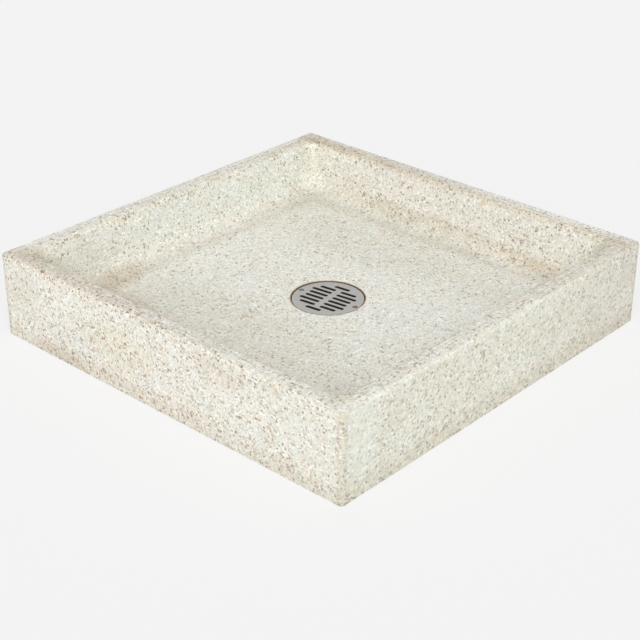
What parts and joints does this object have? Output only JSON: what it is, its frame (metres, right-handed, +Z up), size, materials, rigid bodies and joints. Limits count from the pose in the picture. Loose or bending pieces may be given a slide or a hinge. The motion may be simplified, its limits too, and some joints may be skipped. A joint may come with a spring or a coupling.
{
  "type": "mop service sink",
  "caption": "Low square terrazzo mop service basin with a coved well, a floor that falls to a cast-in brass drain, and a round slotted strainer held by screws.",
  "frame": {"origin": "middle of the flat underside", "axes": "+Z is up, out of the well; X and Y run along the square's sides"},
  "size_m": [0.762, 0.762, 0.1524],
  "materials": {
    "terrazzo": "ground white-cement terrazzo with fine tan, grey and brown marble chips",
    "galvanised_wire": "dull zinc",
    "drain_brass": "cast and tarnished",
    "ring_brass": "machined",
    "gasket_rubber": "moulded, matt",
    "strainer_metal": "satin",
    "screw_metal": "dull, slightly stained"
  },
  "bodies": {
    "basin": {"terrazzo_basin": "terrazzo", "reinforcing_mesh": "galvanised_wire", "curb_hoop": "galvanised_wire", "drain_body": "drain_brass", "pipe_gasket": "gasket_rubber", "compression_ring": "ring_brass"},
    "strainer": {"strainer": "strainer_metal"},
    "screw_left": {"strainer_screw_left": "screw_metal"},
    "screw_right": {"strainer_screw_right": "screw_metal"}
  },
  "joints": [
    {"name": "strainer_lift", "type": "slide", "parent": "basin", "child": "strainer", "axis": [0, 0, 1], "range_m": [0, 0.13]},
    {"name": "screw_left_draw", "type": "slide", "parent": "strainer", "child": "screw_left", "axis": [0, 0, 1], "range_m": [0, 0.11]},
    {"name": "screw_right_draw", "type": "slide", "parent": "strainer", "child": "screw_right", "axis": [0, 0, 1], "range_m": [0, 0.11]}
  ]
}
